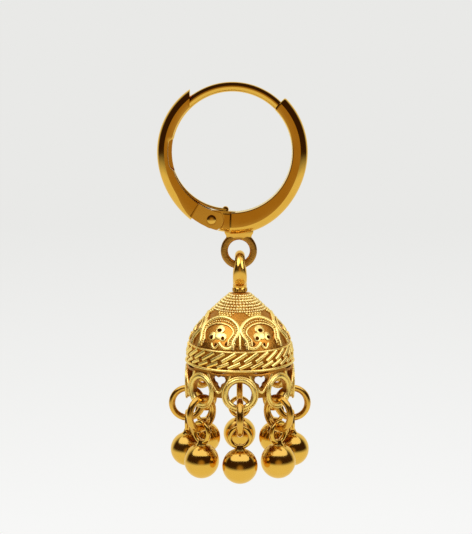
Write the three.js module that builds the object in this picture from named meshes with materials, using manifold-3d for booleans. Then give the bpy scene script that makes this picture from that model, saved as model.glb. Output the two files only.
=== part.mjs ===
// A jhumka earring: a hinged lever-back hoop, a bell-shaped dome that swings from a ring under
// the hoop, and eight ball drops on jump rings around the bell's skirt.
// Millimetres, +Z up, +Y away from the front. The origin is the middle of the ear wire's top.
import * as THREE from 'three';
import { mergeVertices } from 'three/addons/utils/BufferGeometryUtils.js';
import Module from 'manifold-3d';

const wasm = await Module();
wasm.setup();

// ---- Driving dimensions -------------------------------------------------------------------
// Hoop: angles are in degrees in the XZ plane, 0 at +X and 90 at +Z, about the hoop's centre.
const WIRE_DIAMETER = 0.94;
const HOOP_CENTRE_Z = -6.38;
const HOOP_INNER_RADIUS = 5.88;
const HOOP_OUTER_RADIUS = 7.42;
const HOOP_BOTTOM_SWELL = 0.68;
const HOOP_WIDTH_BOTTOM = 2.0;
const HOOP_WIDTH_TOP = 1.7;
const DOMED_EDGE = 0.75;
const BODY_TOP_ANGLE = 46;
const BODY_SHOULDER_ANGLE = -92.5;
const WIRE_END_ANGLE = 168;

// Lever: a channel, open towards the hoop's centre, that closes over the ear wire's end.
const LEVER_TIP_ANGLE = 118;
const LEVER_TIP_X = -4.15;
const LEVER_END_ANGLE = 264;
const LEVER_BACK_END_ANGLE = 238;
const LEVER_EAR_RADIUS = 1.2;
const LEVER_WIDTH = 1.9;
const LEVER_WALL = 0.35;
const LEVER_LIP_INSET = 0.12;
// A region that holds all of the lever but its ears' round ends, used to trim them.
const REACH = { left: -9, top: 2, bottom: -16, inside: -9 };

// Rivet that the lever turns on, through the hoop's tang.
const RIVET = { x: -2.06, z: -12.94 };
const RIVET_RADIUS = 0.3;
const RIVET_HEAD_RADIUS = 0.45;
const RIVET_HEAD_PROUD = 0.1;
const RIVET_CLEARANCE = 0.08;
const RECESS_DEPTH = 0.14;
const TANG_RADIUS = 0.92;
const TANG_WIDTH = 1.04;
const TANG_ROOT = { x: 0.3, below: 1.0, above: 0.75 };

// Spring tongue inside the channel, and the knob where it leaves the hoop.
const TONGUE_WIDTH = 0.8;
const TONGUE_THICKNESS = 0.26;
const TONGUE_START = { angle: -97, radius: 5.66 };
const TONGUE_END = { angle: -163, radius: 6.36 };
const KNOB_RADIUS = 0.3;

// Drop ring soldered under the hoop, and the neck above it.
const DROP_RING = { x: 0.64, z: -16.11 };
const DROP_RING_HOLE = 1.09;
const DROP_RING_SECTION = 0.72;
const DROP_RING_DEPTH = 0.7;
const RING_EDGE_ROUNDING = 0.2;
const NECK_WIDTH = 2.6;
const NECK_TOP_Z = -13.9;
const NECK_BOTTOM_Z = -15.1;

// Bell dome and the bail it hangs by.
const DOME_X = 0.74;
const BAIL_Z = -17.94;
const BAIL_HOLE = 0.8;
const BAIL_WIRE = 1.05;
const STEM_RADIUS = 0.66;
const STEM_TOP_Z = -19.35;
const DOME_WALL = 0.55;
const DOME_PROFILE = [
  { z: -20.30, r: 0.71 }, { z: -20.91, r: 1.41 }, { z: -21.52, r: 2.22 }, { z: -22.24, r: 3.02 },
  { z: -22.95, r: 3.73 }, { z: -23.88, r: 4.34 }, { z: -24.91, r: 4.85 }, { z: -25.35, r: 5.12 },
  { z: -25.45, r: 5.36 }, { z: -26.95, r: 5.40 }, { z: -27.10, r: 5.52 }, { z: -27.30, r: 5.42 },
  { z: -27.45, r: 5.36 }, { z: -29.85, r: 5.50 },
];

// Eyelets, links, loops and balls, eight of each, round the skirt.
const DROP_COUNT = 8;
const DROP_CIRCLE_RADIUS = 5.35;
const EYELET = { z: -29.42, hole: 1.15, wire: 0.52 };
const SKIRT_HOLE = { top: -27.75, bottom: -29.0, halfWidth: 0.95 };
const LINK = { inner: 1.22, wire: 0.66 };
const LOOP = { inner: 0.76, wire: 0.46 };
const BALL_RADIUS = 1.73;
const BALL_TO_LOOP = 2.9;
const COLLAR = { radius: 0.55, height: 0.5 };
const CONTACT_GAP = 0.05;
const THROUGH = 2; // half the length of a cutter that must pass right through the hoop

// Numbers of facets, kept low because a drop earring has many small rings.
const HOOP_STEPS = 24;
const EDGE_STEPS = 3;
const RING_STEPS = 16;
const RING_SIDES = 6;
const LOOP_STEPS = 12;
const WIRE_SIDES = 8;
const DOME_STEPS = 32;
const BALL_STEPS = 12;

// ---- Finish ------------------------------------------------------------------------------
function goldPlate(roughness) {
  return new THREE.MeshStandardMaterial({ color: 0xd9a136, roughness, metalness: 1 });
}

// ---- Solids ------------------------------------------------------------------------------
function toSolid(geometry) {
  const bare = geometry.clone();
  bare.deleteAttribute('normal');
  bare.deleteAttribute('uv');
  const merged = mergeVertices(bare, 1e-4);
  const corner = (i) => new THREE.Vector3().fromBufferAttribute(merged.attributes.position, i);
  const triangles = [];
  let volume = 0;
  for (let i = 0; i < merged.index.count; i += 3) {
    const [a, b, c] = [0, 1, 2].map((step) => merged.index.getX(i + step));
    if (a === b || b === c || c === a) continue;
    triangles.push([a, b, c]);
    volume += corner(a).dot(corner(b).cross(corner(c)));
  }
  const outward = volume > 0 ? triangles : triangles.map(([a, b, c]) => [a, c, b]);
  return new wasm.Manifold(new wasm.Mesh({
    numProp: 3,
    vertProperties: new Float32Array(merged.attributes.position.array),
    triVerts: new Uint32Array(outward.flat()),
  }));
}

function join(...solids) {
  return solids.reduce((whole, next) => whole.add(next));
}

function toMesh(name, solid, roughness) {
  const { vertProperties, triVerts } = solid.getMesh();
  const geometry = new THREE.BufferGeometry();
  geometry.setAttribute('position', new THREE.BufferAttribute(new Float32Array(vertProperties), 3));
  geometry.setIndex(new THREE.BufferAttribute(new Uint32Array(triVerts), 1));
  geometry.computeVertexNormals();
  const mesh = new THREE.Mesh(geometry, goldPlate(roughness));
  mesh.name = name;
  return mesh;
}

// A bar swept about the hoop's centre: section(angle) gives its corners as [radius, y],
// counter-clockwise.
function hoopBar(startAngle, endAngle, steps, section) {
  const points = [];
  const faces = [];
  const corners = section(startAngle).length;
  for (let step = 0; step <= steps; step += 1) {
    const angle = startAngle + (endAngle - startAngle) * step / steps;
    const turn = THREE.MathUtils.degToRad(angle);
    for (const [radius, y] of section(angle)) {
      points.push(radius * Math.cos(turn), y, HOOP_CENTRE_Z + radius * Math.sin(turn));
    }
  }
  for (let step = 0; step < steps; step += 1) {
    for (let k = 0; k < corners; k += 1) {
      const [a, b] = [step * corners + k, step * corners + (k + 1) % corners];
      faces.push(a, b, b + corners, a, b + corners, a + corners);
    }
  }
  const outline = section(startAngle).map(([radius, y]) => new THREE.Vector2(radius, y));
  const last = steps * corners;
  for (const [a, b, c] of THREE.ShapeUtils.triangulateShape(outline, [])) {
    faces.push(a, c, b, last + a, last + b, last + c);
  }
  const geometry = new THREE.BufferGeometry();
  geometry.setAttribute('position', new THREE.Float32BufferAttribute(points, 3));
  geometry.setIndex(faces);
  return toSolid(geometry);
}

// A plate with its outline in the XZ plane, centred on y = 0.
function plate(outline, thickness) {
  const shape = new THREE.Shape(outline.map(([x, z]) => new THREE.Vector2(x, z)));
  const geometry = new THREE.ExtrudeGeometry(shape, { depth: thickness, bevelEnabled: false });
  geometry.rotateX(Math.PI / 2);
  geometry.translate(0, thickness / 2, 0);
  return toSolid(geometry);
}

// A pin along Y, from one y to the other.
function pin(x, z, radius, yFrom, yTo) {
  const geometry = new THREE.CylinderGeometry(radius, radius, yTo - yFrom, 20);
  geometry.translate(x, (yFrom + yTo) / 2, z);
  return toSolid(geometry);
}

// A flat ring about the Y axis with its outer and inner edges rounded off.
function washer(hole, outer, depth, rounding, steps) {
  const half = depth / 2;
  const profile = [
    [hole + rounding, -half], [outer - rounding, -half], [outer, -half + rounding],
    [outer, half - rounding], [outer - rounding, half], [hole + rounding, half],
    [hole, half - rounding], [hole, -half + rounding], [hole + rounding, -half],
  ];
  return new THREE.LatheGeometry(profile.map(([r, y]) => new THREE.Vector2(r, y)), steps);
}

// ---- Hoop --------------------------------------------------------------------------------
function hoopOuterRadius(angle) {
  const down = Math.max(0, -Math.sin(THREE.MathUtils.degToRad(angle)));
  return HOOP_OUTER_RADIUS + HOOP_BOTTOM_SWELL * down ** 3;
}

// Flat cheeks on the inner side and a domed outer edge.
function domedSection(inner, outer, width) {
  const half = width / 2;
  const section = [[inner, -half]];
  for (let i = -EDGE_STEPS; i <= EDGE_STEPS; i += 1) {
    const turn = i * Math.PI / 2 / EDGE_STEPS;
    section.push([outer - DOMED_EDGE * (1 - Math.cos(turn)), half * Math.sin(turn)]);
  }
  section.push([inner, half]);
  return section;
}

function hoopBody() {
  const widthAt = (angle) => THREE.MathUtils.mapLinear(
    angle, BODY_SHOULDER_ANGLE, BODY_TOP_ANGLE, HOOP_WIDTH_BOTTOM, HOOP_WIDTH_TOP);
  return hoopBar(BODY_SHOULDER_ANGLE, BODY_TOP_ANGLE, HOOP_STEPS, (angle) => domedSection(
    HOOP_INNER_RADIUS, hoopOuterRadius(angle), widthAt(angle)));
}

function earWire() {
  const middle = -HOOP_CENTRE_Z;
  const start = BODY_TOP_ANGLE - 6;
  return hoopBar(start, WIRE_END_ANGLE, HOOP_STEPS, () => {
    const section = [];
    for (let i = 0; i < WIRE_SIDES; i += 1) {
      const turn = (i + 0.5) * 2 * Math.PI / WIRE_SIDES;
      section.push([middle + WIRE_DIAMETER / 2 * Math.cos(turn), WIRE_DIAMETER / 2 * Math.sin(turn)]);
    }
    return section;
  });
}

function tang() {
  const outline = [
    [RIVET.x, RIVET.z - TANG_RADIUS], [TANG_ROOT.x, RIVET.z - TANG_ROOT.below],
    [TANG_ROOT.x, RIVET.z + TANG_ROOT.above], [RIVET.x, RIVET.z + TANG_RADIUS],
  ];
  const blank = join(plate(outline, TANG_WIDTH),
    pin(RIVET.x, RIVET.z, TANG_RADIUS, -TANG_WIDTH / 2, TANG_WIDTH / 2));
  return blank.subtract(pin(RIVET.x, RIVET.z, RIVET_RADIUS + RIVET_CLEARANCE, -THROUGH, THROUGH));
}

function springTongue() {
  const half = TONGUE_WIDTH / 2;
  const strip = hoopBar(TONGUE_START.angle, TONGUE_END.angle, 14, (angle) => {
    const radius = THREE.MathUtils.mapLinear(
      angle, TONGUE_START.angle, TONGUE_END.angle, TONGUE_START.radius, TONGUE_END.radius);
    const [inner, outer] = [radius - TONGUE_THICKNESS / 2, radius + TONGUE_THICKNESS / 2];
    return [[inner, -half], [outer, -half], [outer, half], [inner, half]];
  });
  const turn = THREE.MathUtils.degToRad(TONGUE_START.angle);
  const knob = pin(TONGUE_START.radius * Math.cos(turn),
    HOOP_CENTRE_Z + TONGUE_START.radius * Math.sin(turn), KNOB_RADIUS, -half, half);
  return join(strip, knob);
}

function dropRing() {
  const ring = washer(DROP_RING_HOLE, DROP_RING_HOLE + DROP_RING_SECTION, DROP_RING_DEPTH,
    RING_EDGE_ROUNDING, 24);
  ring.translate(DROP_RING.x, 0, DROP_RING.z);
  const [left, right] = [DROP_RING.x - NECK_WIDTH / 2, DROP_RING.x + NECK_WIDTH / 2];
  const neck = plate([[left, NECK_BOTTOM_Z], [right, NECK_BOTTOM_Z], [right, NECK_TOP_Z],
    [left, NECK_TOP_Z]], DROP_RING_DEPTH);
  const hole = pin(DROP_RING.x, DROP_RING.z, DROP_RING_HOLE + RING_EDGE_ROUNDING, -THROUGH,
    THROUGH);
  return join(toSolid(ring), neck.subtract(hole));
}

// ---- Lever -------------------------------------------------------------------------------
function lever() {
  const inner = HOOP_INNER_RADIUS + LEVER_LIP_INSET;
  const blank = hoopBar(LEVER_TIP_ANGLE, LEVER_END_ANGLE, HOOP_STEPS,
    (angle) => domedSection(inner, hoopOuterRadius(angle), LEVER_WIDTH));
  const half = LEVER_WIDTH / 2 - LEVER_WALL;
  const channel = (from, to, outerAt) => hoopBar(from, to, HOOP_STEPS,
    (angle) => [[4, -half], [outerAt(angle), -half], [outerAt(angle), half], [4, half]]);
  const underBack = channel(LEVER_TIP_ANGLE - 2, LEVER_BACK_END_ANGLE + 0.5,
    (angle) => hoopOuterRadius(angle) - LEVER_WALL);
  const betweenEars = channel(LEVER_BACK_END_ANGLE, LEVER_END_ANGLE + 2, () => 10);
  const reach = join(
    plate([[LEVER_TIP_X, REACH.top], [REACH.left, REACH.top], [REACH.left, REACH.bottom],
      [RIVET.x, REACH.bottom], [RIVET.x, REACH.inside], [LEVER_TIP_X, HOOP_CENTRE_Z]],
    2 * THROUGH),
    pin(RIVET.x, RIVET.z, LEVER_EAR_RADIUS, -THROUGH, THROUGH));
  const face = LEVER_WIDTH / 2;
  const seat = RIVET_HEAD_RADIUS + RIVET_CLEARANCE;
  return blank.subtract(underBack).subtract(betweenEars).intersect(reach)
    .subtract(pin(RIVET.x, RIVET.z, RIVET_RADIUS + RIVET_CLEARANCE, -THROUGH, THROUGH))
    .subtract(pin(RIVET.x, RIVET.z, seat, -THROUGH, -face + RECESS_DEPTH))
    .subtract(pin(RIVET.x, RIVET.z, seat, face - RECESS_DEPTH, THROUGH));
}

function hingeRivet() {
  const face = LEVER_WIDTH / 2;
  const seat = face - RECESS_DEPTH + CONTACT_GAP;
  const proud = face + RIVET_HEAD_PROUD;
  return join(
    pin(RIVET.x, RIVET.z, RIVET_RADIUS, -proud, proud),
    pin(RIVET.x, RIVET.z, RIVET_HEAD_RADIUS, seat, proud),
    pin(RIVET.x, RIVET.z, RIVET_HEAD_RADIUS, -proud, -seat));
}

// ---- Dome --------------------------------------------------------------------------------
// The bell is a shell, open below. Its profile runs up the outside and back down the inside.
function domeShell() {
  const outside = DOME_PROFILE.map(({ z, r }) => new THREE.Vector2(r, z)).reverse();
  const rim = DOME_PROFILE[DOME_PROFILE.length - 1];
  const capZ = DOME_PROFILE[1].z;
  const inside = DOME_PROFILE.filter(({ z }) => z < capZ && (z > -25 || z < -27.2))
    .map(({ z, r }) => new THREE.Vector2(r - DOME_WALL, z - (z > -23 ? DOME_WALL : 0)));
  inside[inside.length - 1].y = rim.z;
  const crown = new THREE.Vector2(0, inside[0].y + 0.15);
  const profile = [...outside, new THREE.Vector2(0, DOME_PROFILE[0].z), crown, ...inside,
    outside[0].clone()];
  return toSolid(new THREE.LatheGeometry(profile, DOME_STEPS).rotateX(Math.PI / 2));
}

// The bail is a ring across the drop ring, on a short stem.
function bail() {
  const middle = BAIL_HOLE + BAIL_WIRE / 2;
  const ring = new THREE.TorusGeometry(middle, BAIL_WIRE / 2, 10, 24).rotateY(Math.PI / 2);
  ring.translate(0, 0, BAIL_Z);
  const stemHeight = STEM_TOP_Z - DOME_PROFILE[1].z;
  const stem = new THREE.CylinderGeometry(STEM_RADIUS, STEM_RADIUS * 1.3, stemHeight, 20);
  stem.rotateX(Math.PI / 2).translate(0, 0, STEM_TOP_Z - stemHeight / 2);
  return join(toSolid(ring), toSolid(stem));
}

function aroundDome(solid, turn) {
  return solid.rotate([0, 0, turn]);
}

// A ring of round wire facing outwards, in the skirt.
function eyelet() {
  const ring = new THREE.TorusGeometry(EYELET.hole + EYELET.wire / 2, EYELET.wire / 2,
    RING_SIDES, RING_STEPS).rotateX(Math.PI / 2);
  return toSolid(ring.translate(0, -DROP_CIRCLE_RADIUS, EYELET.z));
}

function jhumkaDome() {
  const turns = Array.from({ length: DROP_COUNT }, (_, i) => i * 360 / DROP_COUNT);
  let skirt = domeShell();
  const eyeletHole = pin(0, EYELET.z, EYELET.hole + EYELET.wire / 2, -8, -3);
  const { top, bottom, halfWidth } = SKIRT_HOLE;
  const window = plate([[0, bottom], [halfWidth, top], [-halfWidth, top]], 4).translate([0, -6, 0]);
  for (const turn of turns) {
    skirt = skirt.subtract(aroundDome(eyeletHole, turn));
    skirt = skirt.subtract(aroundDome(window, turn + 180 / DROP_COUNT));
  }
  const eyelets = turns.map((turn) => aroundDome(eyelet(), turn));
  return join(skirt, ...eyelets, bail()).translate([DOME_X, 0, 0]);
}

// ---- Drops -------------------------------------------------------------------------------
// Each ring hangs on the one above it, with a small gap at the touching place.
const LINK_Z = EYELET.z - (EYELET.hole + LINK.inner - CONTACT_GAP);
const LOOP_Z = LINK_Z - (LINK.inner + LOOP.inner - CONTACT_GAP);
const BALL_Z = LOOP_Z - BALL_TO_LOOP;

function hangAt(index, geometry) {
  geometry.rotateZ(index * 2 * Math.PI / DROP_COUNT);
  return geometry.translate(DOME_X, 0, 0);
}

// A jump ring in the upright plane through the dome's axis.
function jumpLink(index) {
  const ring = new THREE.TorusGeometry(LINK.inner + LINK.wire / 2, LINK.wire / 2, RING_SIDES,
    RING_STEPS);
  ring.rotateY(Math.PI / 2).translate(0, -DROP_CIRCLE_RADIUS, LINK_Z);
  return toSolid(hangAt(index, ring));
}

// A ball with a collar and a loop across its jump ring, soldered into one piece.
function ballDrop(index) {
  const loop = new THREE.TorusGeometry(LOOP.inner + LOOP.wire / 2, LOOP.wire / 2, RING_SIDES,
    LOOP_STEPS).rotateX(Math.PI / 2).translate(0, -DROP_CIRCLE_RADIUS, LOOP_Z);
  const ball = new THREE.SphereGeometry(BALL_RADIUS, BALL_STEPS, BALL_STEPS / 2)
    .rotateX(Math.PI / 2).translate(0, -DROP_CIRCLE_RADIUS, BALL_Z);
  const collar = new THREE.CylinderGeometry(COLLAR.radius * 0.7, COLLAR.radius, COLLAR.height, 8)
    .rotateX(Math.PI / 2)
    .translate(0, -DROP_CIRCLE_RADIUS, BALL_Z + BALL_RADIUS + COLLAR.height * 0.1);
  return join(...[loop, ball, collar].map((shape) => toSolid(hangAt(index, shape))));
}

// ---- Assembly ----------------------------------------------------------------------------
const earring = new THREE.Group();
earring.add(toMesh('hoop', join(hoopBody(), earWire(), tang(), springTongue(), dropRing()), 0.12));
earring.add(toMesh('lever', lever(), 0.12));
earring.add(toMesh('hinge_rivet', hingeRivet(), 0.2));
earring.add(toMesh('jhumka_dome', jhumkaDome(), 0.28));
for (let i = 0; i < DROP_COUNT; i += 1) {
  earring.add(toMesh(`link_${i}`, jumpLink(i), 0.2));
  earring.add(toMesh(`ball_${i}`, ballDrop(i), 0.12));
}

export default earring;
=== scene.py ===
# %% [markdown]
# # A jhumka earring in gold plate
# A jhumka is a bell that hangs from an ear hoop. This lesson builds one piece by piece round a
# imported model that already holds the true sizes: a lever-back hoop, a cast bell with pierced
# arches, and eight polished balls on jump rings. Everything below is worked out in millimetres
# and turned into metres when a mesh is made.

# %% Frame and units
import math

import bmesh
import bpy
from mathutils import Matrix, Vector


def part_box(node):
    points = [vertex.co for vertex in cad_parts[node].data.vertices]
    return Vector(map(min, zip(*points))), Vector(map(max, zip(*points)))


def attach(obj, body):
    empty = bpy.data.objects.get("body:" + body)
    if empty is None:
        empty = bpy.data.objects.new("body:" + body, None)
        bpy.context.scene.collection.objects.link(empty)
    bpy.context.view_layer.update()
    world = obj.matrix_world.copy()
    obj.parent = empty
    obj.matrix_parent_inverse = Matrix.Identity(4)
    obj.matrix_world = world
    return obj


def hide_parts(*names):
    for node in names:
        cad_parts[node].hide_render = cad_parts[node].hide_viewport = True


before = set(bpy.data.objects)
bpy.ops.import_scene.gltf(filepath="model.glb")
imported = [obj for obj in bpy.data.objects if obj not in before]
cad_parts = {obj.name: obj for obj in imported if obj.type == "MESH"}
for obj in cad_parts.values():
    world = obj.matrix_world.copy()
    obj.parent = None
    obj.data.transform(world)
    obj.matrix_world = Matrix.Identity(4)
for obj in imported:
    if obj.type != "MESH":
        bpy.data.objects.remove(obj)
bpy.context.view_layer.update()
MM = 0.001

# %% [markdown]
# ## Camera
# The earring is small and was looked at from close by, about ten centimetres, from a little
# above. A close camera matters: it sees the hoop level, but looks down onto the balls.

# %% Camera
CAMERA_DISTANCE = 102.2 * MM
CAMERA_PITCH = math.radians(8.08)
CAMERA_LENS = 68.9
AIM = Vector((0.354, 0, -17.77)) * MM

camera_data = bpy.data.cameras.new("camera")
camera_data.lens = CAMERA_LENS
camera_data.sensor_width = 36
camera_data.clip_start = 1 * MM
camera_data.clip_end = 10
camera = bpy.data.objects.new("camera", camera_data)
bpy.context.scene.collection.objects.link(camera)
camera.location = AIM + CAMERA_DISTANCE * Vector((0, -math.cos(CAMERA_PITCH), math.sin(CAMERA_PITCH)))
camera.rotation_euler = (math.pi / 2 - CAMERA_PITCH, 0, 0)
bpy.context.scene.camera = camera
print("camera", [round(value / MM, 1) for value in camera.location], "mm")

# %% [markdown]
# ## Helpers for nodes and colours
# Materials and Geometry Nodes are both trees of nodes, so one small function adds a node, sets
# its options and joins its inputs. Colours are written as sRGB hex, as a paint chart has them,
# and one function turns them into the linear values that a shader wants.

# %% Node and colour helpers
def add_node(tree, kind, inputs=None, **settings):
    node = tree.nodes.new(kind)
    for name, value in settings.items():
        setattr(node, name, value)
    for name, value in (inputs or {}).items():
        if isinstance(value, bpy.types.NodeSocket):
            tree.links.new(value, node.inputs[name])
        else:
            node.inputs[name].default_value = value
    return node


def linear(hex_colour):
    channels = [int(hex_colour[i:i + 2], 16) / 255 for i in (1, 3, 5)]
    return [c / 12.92 if c <= 0.04045 else ((c + 0.055) / 1.055) ** 2.4 for c in channels] + [1]

# %% [markdown]
# ## Gold plating
# Gold plate over brass is a metal all through to the eye: it has no colour of its own under the
# shine, only the tint that it gives to what it mirrors. So each finish is a metal whose base
# colour is the tint, and what differs is how smooth the surface under the plating was left:
# tumbled and buffed wire, cast and brushed relief, or the dull floor of a recess that no
# polishing brush reaches. The recess floor is also painted a darker brown for the shade that
# falls in it, and the cap's granules are painted paler for the highlight on the bell's top.

# %% Gold finishes
def gold_finish(name, colour, dark_colour, roughness, grain_mm, bump, depth_mm=0.02):
    """A plated metal whose tint and roughness drift a little with a grain of a real size."""
    material = bpy.data.materials.new(name)
    material.use_nodes = True
    tree = material.node_tree
    tree.nodes.clear()
    place = add_node(tree, "ShaderNodeTexCoord")
    grain = add_node(tree, "ShaderNodeTexNoise", {
        "Vector": place.outputs["Object"], "Scale": 1 / (grain_mm * MM), "Detail": 3.0})
    tint = add_node(tree, "ShaderNodeMix", {
        "Factor": grain.outputs["Fac"], "A": linear(dark_colour), "B": linear(colour)},
        data_type="RGBA")
    smooth = add_node(tree, "ShaderNodeMapRange", {
        "Value": grain.outputs["Fac"], "From Min": 0.3, "From Max": 0.7,
        "To Min": roughness * 0.8, "To Max": roughness * 1.25})
    relief = add_node(tree, "ShaderNodeBump", {
        "Height": grain.outputs["Fac"], "Strength": bump, "Distance": depth_mm * MM})
    shader = add_node(tree, "ShaderNodeBsdfPrincipled", {
        "Base Color": tint.outputs["Result"], "Roughness": smooth.outputs["Result"],
        "Normal": relief.outputs["Normal"], "Metallic": 1.0})
    add_node(tree, "ShaderNodeOutputMaterial", {"Surface": shader.outputs["BSDF"]})
    return material


# Buffed plating on the hoop and lever: almost a mirror, with the faint waves of a buffing wheel.
buffed = gold_finish("buffed gold plate", "#E9BC5C", "#E0B04E", 0.12, 1.6, 0.12)
# Tumbled balls: the smoothest surface of all.
tumbled = gold_finish("tumbled gold plate", "#EDC162", "#E4B652", 0.15, 1.2, 0.08)
# Drawn wire rings, plated in a barrel: a touch duller.
barrel = gold_finish("barrel gold plate", "#EDC266", "#DDA94A", 0.2, 0.5, 0.2)
# The drop ring is left as it comes from the stamp, rough and brownish.
stamped = gold_finish("stamped gold plate", "#DCA855", "#80531E", 0.38, 0.16, 1.0)
# Relief of the casting, brushed bright on its high places.
brushed_cast = gold_finish("brushed cast gold plate", "#FBE69C", "#EFC765", 0.3, 0.16, 0.6)
# Granules on the cap are left frosted from the mould, and their paler, creamier tint is a painted
# highlight on the top of the bell.
frosted_highlight_gold = gold_finish("frosted cast gold plate with painted highlight", "#FFF0B8", "#F0CF78", 0.36, 0.12, 0.7)
# The floor between the relief: dull and rough, and painted a darker brown for the shade that falls in
# the recesses.
shaded_recess_gold = gold_finish("cast gold plate with painted recess shade", "#D6963C", "#875019", 0.36, 0.13, 0.8)
print("finishes:", [m.name for m in bpy.data.materials if "gold" in m.name])

# %% [markdown]
# ## From rings of points to solids
# Nearly every part of an earring is a bar, wire or turned form: a section carried along a path.
# A shape here is a list of points and a list of faces. `skin` joins one section to the next, and
# closes the ends with a flat face or joins the last section to the first.

# %% Shape helpers
def skin(rings, loop=False):
    count = len(rings[0])
    points = [point for ring in rings for point in ring]
    faces = []
    for i in range(len(rings) if loop else len(rings) - 1):
        here, there = i * count, (i + 1) % len(rings) * count
        for k in range(count):
            nxt = (k + 1) % count
            faces.append((here + k, here + nxt, there + nxt, there + k))
    if not loop:
        faces.append(tuple(reversed(range(count))))
        faces.append(tuple(range(len(points) - count, len(points))))
    return points, faces


def together(*shapes):
    points, faces = [], []
    for shape_points, shape_faces in shapes:
        faces += [tuple(len(points) + i for i in face) for face in shape_faces]
        points += shape_points
    return points, faces


def moved(shape, matrix):
    return [tuple(matrix @ Vector(point)) for point in shape[0]], shape[1]


def circle(radius, sides, start=0.0):
    turns = [start + 2 * math.pi * k / sides for k in range(sides)]
    return [(radius * math.cos(turn), radius * math.sin(turn)) for turn in turns]


def tube(path, radius, sides=12, loop=False, flatten=1.0, up=None, taper=0.0):
    """A wire along points. up gives each point's outward direction, which flatten thins."""
    path = [Vector(point) for point in path]
    rings = []
    last = len(path) - 1
    for i, point in enumerate(path):
        before = path[i - 1] if i or loop else point
        after = path[(i + 1) % len(path)] if i < last or loop else point
        along = (after - before).normalized()
        out = Vector(up[i]) if up else Vector((0.3, -0.9, 0.2))
        side = along.cross(out).normalized()
        out = side.cross(along).normalized()
        share = 1 if loop else 1 - taper * (2 * i / last - 1) ** 4
        rings.append([tuple(point + share * (x * side + flatten * y * out))
                      for x, y in circle(radius, sides)])
    return skin(rings, loop)


def turned(profile, steps):
    """A closed profile of (radius, height) turned about the Z axis."""
    rings = []
    for k in range(steps):
        turn = 2 * math.pi * k / steps
        rings.append([(r * math.cos(turn), r * math.sin(turn), z) for r, z in profile])
    return skin(rings, loop=True)


def ring(middle, wire, steps=64, sides=20):
    """A round wire ring about the Z axis."""
    return turned([(middle + x, y) for x, y in circle(wire / 2, sides)], steps)


def ball(radius, steps=48):
    profile = [(radius * math.sin(math.pi * k / (steps // 2)),
                -radius * math.cos(math.pi * k / (steps // 2))) for k in range(steps // 2 + 1)]
    return turned(profile, steps)


def bent(centre_z, angles, section):
    """A bar bent about the hoop's centre: section(angle) gives (radius, y) corners."""
    rings = []
    for angle in angles:
        turn = math.radians(angle)
        rings.append([(radius * math.cos(turn), y, centre_z + radius * math.sin(turn))
                      for radius, y in section(angle)])
    return skin(rings)


def steps_between(start, end, count):
    return [start + (end - start) * k / count for k in range(count + 1)]


def make_piece(name, shape, material, crease=35):
    """Welds a shape's seams and poles, points its faces outwards and shades it smooth."""
    mesh = bpy.data.meshes.new(name)
    mesh.from_pydata([[MM * value for value in point] for point in shape[0]], [], shape[1])
    work = bmesh.new()
    work.from_mesh(mesh)
    bmesh.ops.remove_doubles(work, verts=work.verts, dist=1e-7)
    bmesh.ops.dissolve_degenerate(work, edges=work.edges, dist=1e-8)
    bmesh.ops.recalc_face_normals(work, faces=work.faces)
    work.to_mesh(mesh)
    work.free()
    mesh.shade_smooth()
    mesh.set_sharp_from_angle(angle=math.radians(crease))
    mesh.materials.append(material)
    piece = bpy.data.objects.new(name, mesh)
    bpy.context.scene.collection.objects.link(piece)
    return piece


def joined(name, pieces):
    """One object from several, each keeping its own finish."""
    base = pieces[0]
    with bpy.context.temp_override(active_object=base, selected_editable_objects=pieces):
        bpy.ops.object.join()
    base.name = base.data.name = name
    return base


def finish_piece(piece, body, slot, *nodes):
    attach(piece, body)
    if nodes:
        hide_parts(*nodes)
    triangles = sum(len(face.vertices) - 2 for face in piece.data.polygons)
    print(piece.name, "rides on", body, "with", triangles, "triangles")
    return piece


def cut_away(piece, cutter, crease=30):
    """Cuts one closed mesh out of another, marks the new edges and throws the cutter away."""
    modifier = piece.modifiers.new("cut", "BOOLEAN")
    modifier.operation = "DIFFERENCE"
    modifier.solver = "MANIFOLD"
    modifier.object = cutter
    seen = piece.evaluated_get(bpy.context.evaluated_depsgraph_get())
    mesh = bpy.data.meshes.new_from_object(seen)
    piece.modifiers.remove(modifier)
    piece.data = mesh
    mesh.shade_smooth()
    mesh.set_sharp_from_angle(angle=math.radians(crease))
    bpy.data.objects.remove(cutter)
    return piece

# %% [markdown]
# ## Geometry Nodes for what repeats
# Jewellery repeats itself: eight drops, six arches, rows of granules. Copying meshes in a loop
# would do, but a node tree keeps the count, the radius and the spacing as named inputs that can
# be turned like knobs. Two trees are enough: one sets copies of a motif round the bell's axis,
# and one strings granules along a path. Each ends by realizing its instances, so that what is
# left is a plain mesh.

# %% Geometry Nodes helpers
def new_tree(name, sockets):
    tree = bpy.data.node_groups.new(name, "GeometryNodeTree")
    tree.interface.new_socket("Geometry", in_out="INPUT", socket_type="NodeSocketGeometry")
    for label, kind, value in sockets:
        socket = tree.interface.new_socket(label, in_out="INPUT", socket_type="NodeSocket" + kind)
        if value is not None:
            socket.default_value = value
    tree.interface.new_socket("Geometry", in_out="OUTPUT", socket_type="NodeSocketGeometry")
    return tree, add_node(tree, "NodeGroupInput")


def end_tree(tree, given, instances):
    plain = add_node(tree, "GeometryNodeRealizeInstances", {"Geometry": instances})
    dressed = add_node(tree, "GeometryNodeSetMaterial", {
        "Geometry": plain.outputs["Geometry"], "Material": given.outputs["Material"]})
    add_node(tree, "NodeGroupOutput", {"Geometry": dressed.outputs["Geometry"]})
    return tree


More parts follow.
